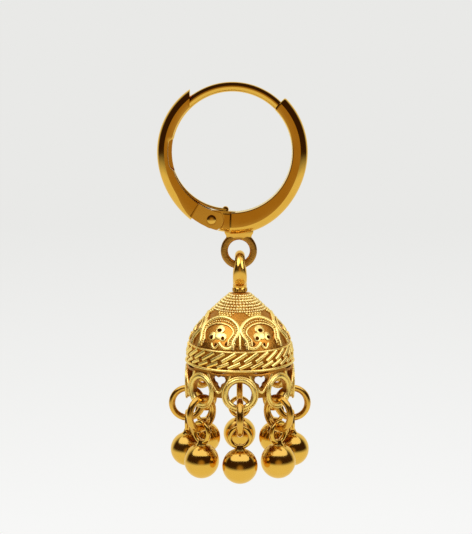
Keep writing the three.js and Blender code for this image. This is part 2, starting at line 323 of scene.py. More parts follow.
def grown(piece, tree, **values):
    """Runs a tree on a piece with the named inputs, and keeps the result as a plain mesh."""
    modifier = piece.modifiers.new(tree.name, "NODES")
    modifier.node_group = tree
    for item in tree.interface.items_tree:
        if item.in_out == "INPUT" and item.name in values:
            modifier[item.identifier] = values[item.name]
    seen = piece.evaluated_get(bpy.context.evaluated_depsgraph_get())
    mesh = bpy.data.meshes.new_from_object(seen)
    piece.modifiers.remove(modifier)
    piece.data = mesh
    return piece


def copies_tree():
    """Copies of a motif made about the Z axis, set round the bell's own axis."""
    tree, given = new_tree("copies round the bell", [
        ("Count", "Int", 8), ("Start angle", "Float", 0.0), ("Axis x", "Float", 0.0),
        ("Material", "Material", None)])
    places = add_node(tree, "GeometryNodePoints", {"Count": given.outputs["Count"]})
    centre = add_node(tree, "ShaderNodeCombineXYZ", {"X": given.outputs["Axis x"]})
    placed = add_node(tree, "GeometryNodeSetPosition", {
        "Geometry": places.outputs["Points"], "Position": centre.outputs["Vector"]})
    number = add_node(tree, "GeometryNodeInputIndex")
    pitch = add_node(tree, "ShaderNodeMath", {0: math.tau, 1: given.outputs["Count"]},
                     operation="DIVIDE")
    turn = add_node(tree, "ShaderNodeMath", {
        0: number.outputs["Index"], 1: pitch.outputs["Value"], 2: given.outputs["Start angle"]},
        operation="MULTIPLY_ADD")
    spin = add_node(tree, "ShaderNodeCombineXYZ", {"Z": turn.outputs["Value"]})
    copies = add_node(tree, "GeometryNodeInstanceOnPoints", {
        "Points": placed.outputs["Geometry"], "Instance": given.outputs["Geometry"],
        "Rotation": spin.outputs["Vector"]})
    return end_tree(tree, given, copies.outputs["Instances"])


def granules_tree():
    """Small solder granules strung along the edges of a path, each a slightly different size."""
    tree, given = new_tree("granules along a path", [
        ("Spacing", "Float", 0.25 * MM), ("Granule radius", "Float", 0.1 * MM),
        ("Seed", "Int", 3), ("Material", "Material", None)])
    path = add_node(tree, "GeometryNodeMeshToCurve", {"Mesh": given.outputs["Geometry"]})
    places = add_node(tree, "GeometryNodeCurveToPoints", {
        "Curve": path.outputs["Curve"], "Length": given.outputs["Spacing"]}, mode="LENGTH")
    granule = add_node(tree, "GeometryNodeMeshIcoSphere", {
        "Radius": given.outputs["Granule radius"], "Subdivisions": 2})
    smooth = add_node(tree, "GeometryNodeSetShadeSmooth", {"Geometry": granule.outputs["Mesh"]})
    size = add_node(tree, "FunctionNodeRandomValue", {
        2: 0.82, 3: 1.12, "Seed": given.outputs["Seed"]}, data_type="FLOAT")
    copies = add_node(tree, "GeometryNodeInstanceOnPoints", {
        "Points": places.outputs["Points"], "Instance": smooth.outputs["Geometry"],
        "Scale": size.outputs[1]})
    return end_tree(tree, given, copies.outputs["Instances"])


copies_round = copies_tree()
granules_along = granules_tree()
print("trees:", [tree.name for tree in bpy.data.node_groups])

# %% [markdown]
# ## The hoop's own measures
# The hoop is a crescent: its inner edge is a circle, and its outer edge swells towards the
# bottom. The sizes repeat those of the frame, and the places come from it.

# %% Hoop measures
hoop_low, hoop_high = (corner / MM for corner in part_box("hoop"))
rivet_low, rivet_high = (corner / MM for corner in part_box("hinge_rivet"))
HOOP_Z = -6.38
WIRE = 0.94
INNER = 5.88
OUTER = hoop_high.x
SWELL = 0.68
EDGE = 0.75
BODY_TOP, BODY_SHOULDER = 46, -92.5
LEVER_WIDTH = 1.9
rivet_x = (rivet_low.x + rivet_high.x) / 2
rivet_z = (rivet_low.z + rivet_high.z) / 2


def outer_radius(angle):
    down = max(0.0, -math.sin(math.radians(angle)))
    return OUTER + SWELL * down ** 3


print("hoop outer radius", round(OUTER, 2), "rivet at", round(rivet_x, 2), round(rivet_z, 2))

# %% [markdown]
# ## Hoop body and ear wire
# The front of the hoop is a solid bar with flat cheeks and a domed back. It could be a curve
# with a bevel profile, but the bar grows wider and deeper towards the bottom, so each section
# is worked out at its own angle. Near the ends the section shrinks over a quarter circle, which
# is the soft edge that buffing leaves.

# %% Hoop body and ear wire
CREASE = math.radians(66)
SOFT_END = 0.22


def domed(inner, outer, width, soft=0.12, edge=EDGE):
    """Cheeks with rounded inner corners, and a dome that meets them at a slight crease."""
    half = width / 2
    section = []
    for k in range(4, -1, -1):
        turn = math.pi / 2 * k / 4
        section.append((inner + soft * (1 - math.sin(turn)), -half + soft * (1 - math.cos(turn))))
    for k in range(-12, 13):
        turn = CREASE * k / 12
        rise = (1 - math.cos(turn)) / (1 - math.cos(CREASE))
        section.append((outer - edge * rise, half * math.sin(turn) / math.sin(CREASE)))
    for k in range(5):
        turn = math.pi / 2 * k / 4
        section.append((inner + soft * (1 - math.sin(turn)), half - soft * (1 - math.cos(turn))))
    return section


def soft_ended(start, end, count, section, radius, soft_start=True, soft_end=True):
    """Angles and a section function whose ends are rounded over SOFT_END millimetres."""
    spread = math.degrees(SOFT_END / radius) * (1 if end > start else -1)
    inset = [0.0, 0.08, 0.3, 0.62, 1.0]
    angles = ([start + spread * s for s in inset[:-1]] if soft_start else [start])
    angles += steps_between(start + spread, end - spread, count)
    angles += ([end - spread * s for s in reversed(inset[:-1])] if soft_end else [end])

    def rounded(angle):
        gap = min(abs(angle - start) if soft_start else spread,
                  abs(end - angle) if soft_end else spread, key=abs)
        share = min(1.0, abs(gap / spread))
        shrink = 1 - (1 - math.sqrt(1 - (1 - share) ** 2)) * SOFT_END / (EDGE + 0.1)
        corners = section(angle)
        mid = sum(r for r, _ in corners) / len(corners)
        return [(mid + (r - mid) * shrink, y * shrink) for r, y in corners]

    return bent(HOOP_Z, angles, rounded)


def body_width(angle):
    share = (angle - BODY_SHOULDER) / (BODY_TOP - BODY_SHOULDER)
    return 2.0 - 0.3 * share


hoop_body = soft_ended(BODY_SHOULDER, BODY_TOP, 150, lambda angle: domed(
    INNER, outer_radius(angle), body_width(angle)), OUTER)
ear_wire = soft_ended(BODY_TOP - 6, 168, 120, lambda angle: [
    (-HOOP_Z + x, y) for x, y in circle(WIRE / 2, 24)], -HOOP_Z, soft_start=False)
shoulder_step = bent(HOOP_Z, steps_between(BODY_SHOULDER + 1, -101, 30), lambda angle: domed(
    INNER + 0.12, outer_radius(angle) - 0.2, 1.66, edge=0.4))
print("hoop body sections:", len(hoop_body[0]) // 35)

# %% [markdown]
# ## Tang, spring tongue and drop ring
# A flat tang under the shoulder takes the rivet. A thin spring tongue runs from a small knob up
# inside the lever; it is what makes a lever-back snap. The ring that carries the bell hangs from
# a tapered neck, which flows into the ring as solder does.

# %% Tang, tongue and drop ring
def slab(outline, thickness, soft=0.06):
    """An outline in the XZ plane given a thickness along Y, with its edges softened."""
    centre_x = sum(x for x, _ in outline) / len(outline)
    centre_z = sum(z for _, z in outline) / len(outline)
    size = max(math.hypot(x - centre_x, z - centre_z) for x, z in outline)
    half = thickness / 2
    rings = []
    for inset, y in ((soft, -half), (soft * 0.3, -half + soft * 0.3), (0, -half + soft),
                     (0, half - soft), (soft * 0.3, half - soft * 0.3), (soft, half)):
        share = 1 - inset / size
        rings.append([(centre_x + (x - centre_x) * share, y, centre_z + (z - centre_z) * share)
                      for x, z in outline])
    return skin(rings)


def flat_ring(hole, outer, depth, soft, steps=72):
    """A ring about the Z axis, flat on both sides and rounded at its edges."""
    profile = []
    for x_centre, y_centre, first in ((outer - soft, depth / 2 - soft, 0),
                                      (hole + soft, depth / 2 - soft, 90),
                                      (hole + soft, soft - depth / 2, 180),
                                      (outer - soft, soft - depth / 2, 270)):
        for k in range(7):
            turn = math.radians(first + 15 * k)
            profile.append((x_centre + soft * math.cos(turn), y_centre + soft * math.sin(turn)))
    return turned(profile, steps)


def facing_front(x, y, z):
    """Stands a shape made about the Z axis up, so that its axis runs along Y."""
    return Matrix.Translation((x, y, z)) @ Matrix.Rotation(math.pi / 2, 4, "X")


TANG_RADIUS, TANG_WIDTH = 0.92, 1.04
RING_HOLE, RING_OUTER, RING_DEPTH = 1.09, 1.81, 0.7
RING_X, RING_Z = 0.64, hoop_low.z + RING_OUTER
TONGUE_START, TONGUE_END = (-97, 5.66), (-163, 6.1)

tang_outline = [(rivet_x + TANG_RADIUS * math.cos(math.radians(a)),
                 rivet_z + TANG_RADIUS * math.sin(math.radians(a)))
                for a in steps_between(80, 270, 24)]
tang_outline += [(0.3, rivet_z - 1.0), (0.3, rivet_z + 0.75)]
tang = slab(tang_outline, TANG_WIDTH)


def tongue_section(angle):
    share = (angle - TONGUE_START[0]) / (TONGUE_END[0] - TONGUE_START[0])
    radius = TONGUE_START[1] + (TONGUE_END[1] - TONGUE_START[1]) * share
    return [(radius + 0.13 * math.copysign(abs(x) ** 0.4, x), 0.4 * math.copysign(abs(y) ** 0.4, y))
            for x, y in circle(1, 24, 0.01)]


tongue = bent(HOOP_Z, steps_between(TONGUE_START[0], TONGUE_END[0], 50), tongue_section)
knob_turn = math.radians(TONGUE_START[0])
knob = moved(ball(0.33, 32), Matrix.Translation((
    TONGUE_START[1] * math.cos(knob_turn), 0, HOOP_Z + TONGUE_START[1] * math.sin(knob_turn))))


def neck_shape():
    """Sections from the hoop's underside down into the ring, waisted in between."""
    rings = []
    for z, half, deep in ((-13.6, 1.4, 0.4), (-14.2, 1.45, 0.42), (-14.36, 1.42, 0.41),
                          (-14.46, 1.36, 0.4), (-14.56, 1.3, 0.38), (-14.7, 1.26, 0.36),
                          (-14.85, 1.29, 0.35), (-15.0, 1.36, 0.33), (-15.12, 1.42, 0.3)):
        rings.append([(RING_X + half * math.copysign(abs(x) ** 0.5, x),
                       deep * math.copysign(abs(y) ** 0.5, y), z) for x, y in circle(1, 40, 0.01)])
    return skin(rings)


drop_ring = moved(flat_ring(RING_HOLE, RING_OUTER, RING_DEPTH, 0.23),
                  facing_front(RING_X, 0, RING_Z))
neck = make_piece("neck", neck_shape(), barrel)
neck_bore = make_piece("bore", moved(turned([(0, -2), (1.35, -2), (1.35, 2), (0, 2)], 48),
                                     facing_front(RING_X, 0, RING_Z)), barrel)
neck = cut_away(neck, neck_bore)
polished = make_piece("polished_hoop", together(hoop_body, ear_wire, knob), buffed, crease=18)
working_parts = make_piece("working_parts", together(tang, tongue), buffed, crease=40)
ring_piece = make_piece("drop_ring", drop_ring, stamped)
step_piece = make_piece("shoulder_step", shoulder_step, buffed, crease=26)
ear_room = make_piece("ear_room", moved(turned([(0, -2), (1.27, -2), (1.27, 2), (0, 2)], 64),
                                        facing_front(rivet_x, 0, rivet_z)), buffed)
step_piece = cut_away(step_piece, ear_room)
hoop = joined("hoop_look", [polished, working_parts, step_piece, neck, ring_piece])
finish_piece(hoop, "hoop", "polished_gold_plate", "hoop")

# %% [markdown]
# ## Lever
# The lever is a channel, open towards the middle of the hoop, and its two cheeks run on below
# as ears that hold the rivet. It is swept like the hoop, but hollow: the section goes round the
# outside and back along the inside. The ears are flat plates with round ends.

# %% Lever
LEVER_TIP, LEVER_TIP_X = 118, -4.15
BACK_END, EAR_RADIUS, EAR_INSET = 238, 1.15, 0.3
WALL, LIP = 0.35, 0.12


def blend(value, low, high):
    """0 below low, 1 above high, and a smooth change between."""
    share = min(1.0, max(0.0, (value - low) / (high - low)))
    return share * share * (3 - 2 * share)


def channel_section(angle):
    outer = outer_radius(angle)
    # The crease runs out to the edge where the back ends and only the ears go on.
    edge = EDGE - (EDGE - EAR_INSET) * blend(angle, BACK_END - 24, BACK_END)
    # The front cheek is cut back a little over the ear wire's end, to show that it has shut.
    notch = 0.3 * blend(angle, 166, 171) * (1 - blend(angle, 192, 198))
    section = domed(INNER + LIP, outer, LEVER_WIDTH, soft=0.06, edge=edge)
    section[:5] = [(r + notch, y) for r, y in section[:5]]
    half = LEVER_WIDTH / 2 - WALL
    back = [(INNER + LIP, half)]
    for k in range(12, -13, -1):
        turn = math.radians(81) * k / 12
        back.append((outer - WALL - (edge - 0.2) * (1 - math.cos(turn)),
                     half * math.sin(turn) / math.sin(math.radians(81))))
    back.append((INNER + LIP + notch, -half))
    return section + back


def on_hoop(radius, angle):
    turn = math.radians(angle)
    return radius * math.cos(turn), HOOP_Z + radius * math.sin(turn)


def ear_outline():
    """From the back strip's end, round the rivet, and back along the inner edge."""
    rivet_angle = math.degrees(math.atan2(rivet_z - HOOP_Z, rivet_x)) + 360
    rivet_out = math.hypot(rivet_x, rivet_z - HOOP_Z)

    def meeting(radius):
        """The angle at which the ear's round end cuts an arc of the hoop."""
        share = (radius ** 2 + rivet_out ** 2 - EAR_RADIUS ** 2) / (2 * radius * rivet_out)
        return rivet_angle + math.degrees(math.acos(share))

    outer_end = meeting(outer_radius(rivet_angle + 6) - EAR_INSET)
    inner_end = meeting(INNER + LIP)
    points = [on_hoop(outer_radius(angle) - EAR_INSET, angle)
              for angle in steps_between(BACK_END - 2, outer_end, 24)]
    low_x, low_z = on_hoop(outer_radius(outer_end) - EAR_INSET, outer_end)
    high_x, high_z = on_hoop(INNER + LIP, inner_end)
    low_turn = math.degrees(math.atan2(low_z - rivet_z, low_x - rivet_x))
    high_turn = math.degrees(math.atan2(high_z - rivet_z, high_x - rivet_x))
    points += [(rivet_x + EAR_RADIUS * math.cos(math.radians(a)),
                rivet_z + EAR_RADIUS * math.sin(math.radians(a)))
               for a in steps_between(low_turn, high_turn, 16)[1:-1]]
    points += [on_hoop(INNER + LIP, angle) for angle in steps_between(inner_end, BACK_END - 2, 20)]
    return points


lever_back = bent(HOOP_Z, steps_between(LEVER_TIP, BACK_END, 130), channel_section)
ears = []
for side in (-1, 1):
    y = side * (LEVER_WIDTH / 2 - WALL / 2 + 0.005)
    ears.append(moved(slab(ear_outline(), WALL, 0.015), Matrix.Translation((0, y, 0))))
back_piece = make_piece("lever_back", lever_back, buffed, crease=18)
tip_cutter = make_piece("tip_cutter", moved(skin([
    [(-1, -3, z), (5, -3, z), (5, 3, z), (-1, 3, z)] for z in (-4, 6)]),
    Matrix.Translation((LEVER_TIP_X + 1, 0, 0))), buffed)
back_piece = cut_away(back_piece, tip_cutter, crease=18)
ear_piece = make_piece("ears", together(*ears), buffed, crease=30)
for side in (-1, 1):
    seat = make_piece("seat", moved(turned([(0, -0.3), (0.55, -0.3), (0.55, 0.3), (0, 0.3)], 48),
                                    facing_front(rivet_x, side * (LEVER_WIDTH / 2 + 0.16), rivet_z)),
                      buffed)
    ear_piece = cut_away(ear_piece, seat)
lever = joined("lever_look", [back_piece, ear_piece])
finish_piece(lever, "lever", "polished_gold_plate", "lever")


def rivet_head(side):
    """A peened head: a low dome standing in its recess."""
    profile = [(0, 0)]
    profile += [(0.46 * math.sin(math.radians(a)), 0.1 + 0.16 * math.cos(math.radians(a)))
                for a in steps_between(90, 0, 10)]
    head = turned(profile, 40)
    return moved(head, Matrix.Translation((rivet_x, side * (LEVER_WIDTH / 2 - 0.14), rivet_z))
                 @ Matrix.Rotation(side * -math.pi / 2, 4, "X"))


shank = moved(turned([(0, -0.85), (0.3, -0.85), (0.3, 0.85), (0, 0.85)], 32),
              facing_front(rivet_x, 0, rivet_z))
rivet = make_piece("rivet_look", together(rivet_head(-1), rivet_head(1), shank), barrel)
finish_piece(rivet, "lever", "ring_gold_plate", "hinge_rivet")

# %% [markdown]
# ## The bell's shell
# The bell is cast as one, but it is easier to see it as a smooth shell with relief laid on it.
# The meridian is the curve that the caster's wax model would be turned to. Six arches go round
# the upper part, in three mirrored pairs, and eight windows round the skirt, so each has its
# own count when the tree copies it.

# %% Bell measures and shell
DOME_X = 0.74
WALL_DOME = 0.5
SPRING = [(0.71, -20.3), (2.9, -22.2), (4.75, -23.7), (5.08, -25.4)]
PAIRS = 3
DROPS = 8
BAND_TOP, BAND_RIDGE, SKIRT_TOP, SKIRT_BOTTOM = -25.5, -27.15, -27.5, -29.85


def meridian(share):
    """A point (radius, height) of the bell's upper curve, and its outward direction."""
    s, t = share, 1 - share
    weights = (t ** 3, 3 * t * t * s, 3 * t * s * s, s ** 3)
    r = sum(w * p[0] for w, p in zip(weights, SPRING))
    z = sum(w * p[1] for w, p in zip(weights, SPRING))
    slopes = (-3 * t * t, 3 * t * t - 6 * t * s, 6 * t * s - 3 * s * s, 3 * s * s)
    dr = sum(w * p[0] for w, p in zip(slopes, SPRING))
    dz = sum(w * p[1] for w, p in zip(slopes, SPRING))
    length = math.hypot(dr, dz)
    return r, z, -dz / length, dr / length


upper_shares = [k / 400 for k in range(401)]
upper_curve = [meridian(share) for share in upper_shares]


def on_bell(degrees, z, proud=0.0):
    """A point on the bell's surface at an angle from the front, at a height, lifted outwards."""
    turn = math.radians(degrees - 90)
    if z > SPRING[-1][1]:
        r, z0, nr, nz = min(upper_curve, key=lambda row: abs(row[1] - z))
    elif z > SKIRT_TOP:
        r, nr, nz = 5.1 + 0.18 * min(1, (SPRING[-1][1] - z) / 0.9), 1.0, 0.0
    else:
        r, nr, nz = 5.36 + 0.14 * (SKIRT_TOP - z) / (SKIRT_TOP - SKIRT_BOTTOM), 1.0, 0.0
    r, z = r + proud * nr, z + proud * nz
    return (r * math.cos(turn), r * math.sin(turn), z)


def bell_profile():
    outside = [meridian(k / 40)[:2] for k in range(41)]
    outside += [(5.06, -25.6), (5.14, -26.3), (5.18, -26.95), (5.3, -27.0), (5.3, SKIRT_TOP),
                (5.36, -27.6), (5.5, SKIRT_BOTTOM + 0.08), (5.46, SKIRT_BOTTOM)]
    inside = [(5.02, SKIRT_BOTTOM), (4.86, SKIRT_TOP), (4.74, -25.6)]
    for k in range(36, 5, -2):
        r, z, nr, nz = meridian(k / 40)
        inside.append((r - WALL_DOME * nr, z - WALL_DOME * nz))
    return outside + inside + [(0, -21.3), (0, -20.3)]


# The shell's darker brown tint is painted shade for the recesses between the relief.
shell = make_piece("bell_shell", turned(bell_profile(), 192), shaded_recess_gold, crease=40)
print("bell shell:", len(shell.data.polygons), "faces")


def punch(outline, depth=2.6):
    """A closed cutter through the wall, over an outline of (degrees from the front, height)."""
    rings = []
    for proud in (-depth / 2, depth / 2):
        ring_points = []
        for degrees, z in outline:
            x, y, height = on_bell(degrees, z)
            turn = math.radians(degrees - 90)
            ring_points.append((x + proud * math.cos(turn), y + proud * math.sin(turn), height))
        rings.append(ring_points)
    return skin(rings)


def blob(degrees, z, wide, high, lean=0.0, sides=14):
    """An oval outline on the bell: widths in millimetres, lean in degrees."""
    radius = math.hypot(*on_bell(degrees, z)[:2])
    tilt = math.radians(lean)
    outline = []
    for x, y in circle(1, sides):
        across, up = x * wide / 2, y * high / 2
        across, up = (across * math.cos(tilt) - up * math.sin(tilt),
                      across * math.sin(tilt) + up * math.cos(tilt))
        outline.append((degrees + math.degrees(across / radius), z + up))
    return outline


# Each arch holds a leaf of three round lobes, each with a hole, and a dark eye below it. The
# slots stand between two arches. Angles are those of the arch to the right of the front.
ARCH_MIDDLE = 29
LEAF_LOBES = [blob(ARCH_MIDDLE - 1, -23.42, 1.0, 0.8), blob(ARCH_MIDDLE - 7.5, -24.05, 0.8, 0.75),
              blob(ARCH_MIDDLE + 6.5, -24.05, 0.8, 0.75), blob(ARCH_MIDDLE - 1, -23.95, 0.9, 0.7)]
ARCH_HOLES = [blob(ARCH_MIDDLE - 1, -23.45, 0.52, 0.34), blob(ARCH_MIDDLE - 8, -24.1, 0.4, 0.36, 30),
              blob(ARCH_MIDDLE + 7, -24.1, 0.4, 0.36, -30), blob(ARCH_MIDDLE, -24.75, 0.26, 0.4),
              blob(ARCH_MIDDLE - 14, -24.6, 0.5, 0.4, -20)]
SLOT = blob(3.6, -24.4, 0.34, 1.0)
WINDOW = [(22.5 + 7.6 * s, z) for s, z in (
    (0, -28.95), (0.3, -28.75), (0.4, -28.5), (0.8, -28.35), (1, -28.05), (0.85, -27.78),
    (0.4, -27.72), (0, -27.84), (-0.4, -27.72), (-0.85, -27.78), (-1, -28.05), (-0.8, -28.35),
    (-0.4, -28.5), (-0.3, -28.75))]
BAND_SLOT = blob(22.5, -27.42, 1.7, 0.26)


def mirrored(outline):
    """The same outline on the other side of the front, going round the same way."""
    return [(-degrees, z) for degrees, z in reversed(outline)]


pair_holes = ARCH_HOLES + [SLOT]
pair_holes += [mirrored(outline) for outline in pair_holes]
arch_cutter = make_piece("arch_cutter", together(*[punch(o) for o in pair_holes]), shaded_recess_gold)
arch_cutter = grown(arch_cutter, copies_round, Count=PAIRS, Material=shaded_recess_gold)
skirt_cutter = make_piece("skirt_cutter", together(punch(WINDOW, 1.6), punch(BAND_SLOT, 1.6)),
                          shaded_recess_gold)
skirt_cutter = grown(skirt_cutter, copies_round, Count=DROPS, Material=shaded_recess_gold)
shell = cut_away(cut_away(shell, arch_cutter), skirt_cutter)
print("pierced shell:", len(shell.data.polygons), "faces")

# %% [markdown]
# ## Relief on the bell
# A relief line is a wire half sunk in the surface, so its path has only to follow the bell. Each
# arch has a raised border, a row of granules inside it, and a small leaf-shaped plate round its
# holes. A pair of arches is made once, about the front, and the tree copies it round.

# %% Arches
def arch_path(half_angle, top, bottom, steps=48):
    """Over a round top, widest a third of the way down, then drawn in towards the foot."""
    path = []
    for place in steps_between(-1, 1, steps):
        down = abs(place)
        if down < 0.5:
            side, lift = math.sin(math.pi * down), 0.62 + 0.38 * math.cos(math.pi * down)
        else:
            side, lift = 1 - 0.24 * blend(down, 0.5, 0.85), 0.62 * 2 * (1 - down)
        path.append((ARCH_MIDDLE + 1 + half_angle * math.copysign(side, place),
                     bottom + (top - bottom) * lift))
    return path


def relief_wire(outline, radius, proud=0.0, flatten=0.8, loop=False, sides=10):
    points = [on_bell(degrees, z, proud) for degrees, z in outline]
    outward = []
    for degrees, z in outline:
        high = Vector(on_bell(degrees, z, 0.1)) - Vector(on_bell(degrees, z))
        outward.append(tuple(high))
    return tube(points, radius, sides, loop, flatten, outward)


border = arch_path(28.6, -22.4, -25.15)
inner_line = arch_path(21.5, -22.92, -24.8)
smile = [(ARCH_MIDDLE - 14 + 9.5 * s, -25.05 + 0.5 * s * s) for s in steps_between(-1, 1, 16)]
eye = [(ARCH_MIDDLE + 0.5 + 4.5 * s, -25.08 + 0.4 * s * s) for s in steps_between(-1, 1, 12)]
sweeps = []
for path, thick in ((border, 0.2), (inner_line, 0.09), (smile, 0.16), (eye, 0.12)):
    for outline in (path, mirrored(path)):
        sweeps.append(relief_wire(outline, thick, 0.08))
sweeps.append(relief_wire([(0, z) for z in steps_between(-23.3, -25.1, 10)], 0.12, 0.06))
arch = make_piece("arches", together(*sweeps), brushed_cast, 50)
arch = grown(arch, copies_round, Count=PAIRS, Material=brushed_cast)


def raised(outline, height):
    """A low plate on the bell over an outline, domed a little towards its middle."""
    middle = [sum(values) / len(outline) for values in zip(*outline)]
    rings = []
    for share, proud in ((1, -0.15), (1, height * 0.5), (0.9, height * 0.85), (0.7, height),
                         (0.35, height * 1.1)):
        rings.append([on_bell(middle[0] + (d - middle[0]) * share,
                              middle[1] + (z - middle[1]) * share, proud) for d, z in outline])
    return skin(rings)


leaves = [raised(outline, 0.12 + 0.01 * k) for k, outline in enumerate(LEAF_LOBES)]
leaves += [raised(mirrored(outline), 0.12 + 0.01 * k) for k, outline in enumerate(LEAF_LOBES)]
leaf_pieces = [make_piece(f"leaf_{k}", leaf, brushed_cast, 60) for k, leaf in enumerate(leaves)]
pair_cutter = make_piece("pair_cutter", together(*[punch(o) for o in pair_holes]), shaded_recess_gold)
for leaf in leaf_pieces:
    cutter = pair_cutter.copy()
    cutter.data = pair_cutter.data.copy()
    bpy.context.scene.collection.objects.link(cutter)
    cut_away(leaf, cutter)
bpy.data.objects.remove(pair_cutter)
leaf = joined("leaves", leaf_pieces)
leaf = grown(leaf, copies_round, Count=PAIRS, Material=brushed_cast)


def granule_row(name, outline, spacing, radius, proud=0.05, loop=False, finish=brushed_cast):
    """A path on the bell strung with granules by the tree."""
    points = [[MM * v for v in on_bell(degrees, z, proud)] for degrees, z in outline]
    edges = [(i, i + 1) for i in range(len(points) - 1)]
    if loop:
        edges.append((len(points) - 1, 0))
    mesh = bpy.data.meshes.new(name)
    mesh.from_pydata(points, edges, [])
    row = bpy.data.objects.new(name, mesh)
    bpy.context.scene.collection.objects.link(row)
    return grown(row, granules_along, **{"Spacing": spacing * MM, "Granule radius": radius * MM,
                                         "Material": finish})


bead_path = arch_path(24.8, -22.68, -24.95, 60)
bead_rows = [granule_row("arch_beads", outline, 0.24, 0.115, 0.02)
             for outline in (bead_path, mirrored(bead_path))]
# Above each arch two short rows fill the cap out, and leave a bare triangle between arches.
for z, reach in ((-22.08, 16), (-22.24, 12)):
    arc = [(ARCH_MIDDLE + 1 + d, z) for d in steps_between(-reach, reach, 16)]
    bead_rows += [granule_row("fill_row", path, 0.27, 0.13) for path in (arc, mirrored(arc))]
beads = joined("arch_beads", bead_rows)
beads = grown(beads, copies_round, Count=PAIRS, Material=brushed_cast)
around = [(360 * k / 96, 0) for k in range(96)]
CAP_ROWS = ((-20.58, 0.3, 0.16), (-20.78, 0.31, 0.17), (-21.0, 0.29, 0.16), (-21.22, 0.33, 0.17),
            (-21.46, 0.3, 0.16), (-21.7, 0.32, 0.16), (-21.9, 0.24, 0.12))
# Each row starts at another angle, so that the granules do not line up at the front.
# The cap rows take the paler tint, a painted highlight on the bell's top.
cap_rows = [granule_row("cap_row", [(d + 600 * z, z) for d, _ in around], spacing, size, loop=True,
                        finish=frosted_highlight_gold)
            for z, spacing, size in CAP_ROWS]
print("granules on the cap and arches:", sum(len(o.data.polygons) for o in cap_rows + [beads]))

# %% [markdown]
# ## Rope band and skirt
# Between the arches and the skirt runs a band like two rows of twisted rope: short slanting
# strands with dark hollows between. One strand of each row is made and the tree sets thirty
# round. Plain ridges bound the band, and each window of the skirt has a raised V below it.

# %% Rope band and skirt
STRANDS = 30
PITCH = 360 / STRANDS


def strand(middle, z_low, z_high, lean, radius):
    return relief_wire([(middle + lean * s, z_low + (z_high - z_low) * (s + 1) / 2)
                        for s in steps_between(-1, 1, 8)], radius, 0.0, 0.9)


upper = strand(0, -26.3, -25.5, 7.2, 0.21)
lower = strand(PITCH / 2, -26.92, -26.4, 6.4, 0.19)
rope = make_piece("rope", together(upper, lower), brushed_cast, 60)
rope = grown(rope, copies_round, Count=STRANDS, Material=brushed_cast)


def ridge(z, radius, proud, tall):
    profile = [(on_ridge + radius * x, z + tall * y) for on_ridge, (x, y) in
               ((math.hypot(*on_bell(0, z, proud)[:2]), corner) for corner in circle(1, 14))]
    return turned(profile, 192)


ridges = make_piece("ridges", together(
    ridge(-25.36, 0.13, 0.02, 0.1), ridge(BAND_RIDGE, 0.2, 0.06, 0.14)),
    brushed_cast, 60)
vee = [(22.5 + 12.4 * s, z) for s, z in ((-1, -27.6), (-0.82, -28.1), (-0.5, -28.75), (-0.2, -29.2),
                                        (0, -29.35), (0.2, -29.2), (0.5, -28.75), (0.82, -28.1),
                                        (1, -27.6))]
vees = make_piece("vees", relief_wire(vee, 0.13, 0.04), brushed_cast, 60)
vees = grown(vees, copies_round, Count=DROPS, Material=brushed_cast)

# %% [markdown]
# ## Eyelets and bail
# Each drop hangs from an eyelet that faces outwards in the skirt: a ring with a second, finer
# rim outside it. The bail on top stands across the drop ring, on a grooved and knurled stem.

# %% Eyelets and bail
EYELET_Z, EYELET_HOLE, EYELET_WIRE = -29.42, 1.12, 0.54
CIRCLE, EYELET_CIRCLE = 5.35, 5.25
BAIL_Z, BAIL_HOLE, BAIL_WIRE = -17.94, 0.8, 1.05


def at_front(z, out=CIRCLE):
    """Where a ring of the first drop stands: facing outwards, at the front of the bell."""
    return facing_front(0, -out, z)


eyelet = moved(ring(EYELET_HOLE + EYELET_WIRE / 2, EYELET_WIRE, 56, 16),
               at_front(EYELET_Z, EYELET_CIRCLE))
rim = moved(ring(EYELET_HOLE + EYELET_WIRE + 0.03, 0.2, 56, 10),
            at_front(EYELET_Z, EYELET_CIRCLE + 0.14))
eyelet_hole = make_piece("eyelet_hole", moved(turned([(0, -2), (EYELET_HOLE, -2), (EYELET_HOLE, 2),
                                                      (0, 2)], 40), at_front(EYELET_Z)), shaded_recess_gold)
eyelet_hole = grown(eyelet_hole, copies_round, Count=DROPS, Material=shaded_recess_gold)
shell = cut_away(shell, eyelet_hole)
eyelets = make_piece("eyelets", together(eyelet, rim), brushed_cast, 60)
eyelets = grown(eyelets, copies_round, Count=DROPS, Material=brushed_cast)



def bail_section(turn):
    """The bail is slim where it bears on the drop ring and broad where it meets the stem."""
    broad = 0.5 + 0.2 * blend(-math.sin(turn), -0.7, 0.5)
    return [(broad * x, BAIL_WIRE / 2 * y) for x, y in circle(1, 28)]


def bail_loop():
    rings = []
    middle = BAIL_HOLE + BAIL_WIRE / 2
    for k in range(72):
        turn = 2 * math.pi * k / 72
        rings.append([(x, (middle + y) * math.cos(turn), BAIL_Z + (middle + y) * math.sin(turn))
                      for x, y in bail_section(turn)])
    return skin(rings, loop=True)


stem = turned([(0, -18.9), (0.62, -18.95), (0.7, -19.3), (0.7, -19.75), (0.66, -19.8),
               (0.7, -19.85), (0.7, -20.2), (0.62, -20.24), (0.56, -20.34), (0.62, -20.44),
               (0.86, -20.5), (0.92, -20.62), (0.84, -20.72), (0.8, -20.8), (0, -20.9)], 48)
knurls = [moved(tube([(0.7, 0, -20.2), (0.7, 0, -19.86)], 0.055, 8),
                Matrix.Rotation(2 * math.pi * k / 18, 4, "Z")) for k in range(18)]
bail = make_piece("bail", together(bail_loop(), stem, *knurls), barrel, 40)

bell = joined("bell_look", [shell, arch, leaf, beads, *cap_rows, rope, ridges, vees, eyelets, bail])
bell.data.transform(Matrix.Translation((DOME_X * MM, 0, 0)))
finish_piece(bell, "drop", "cast_gold_plate", "jhumka_dome")

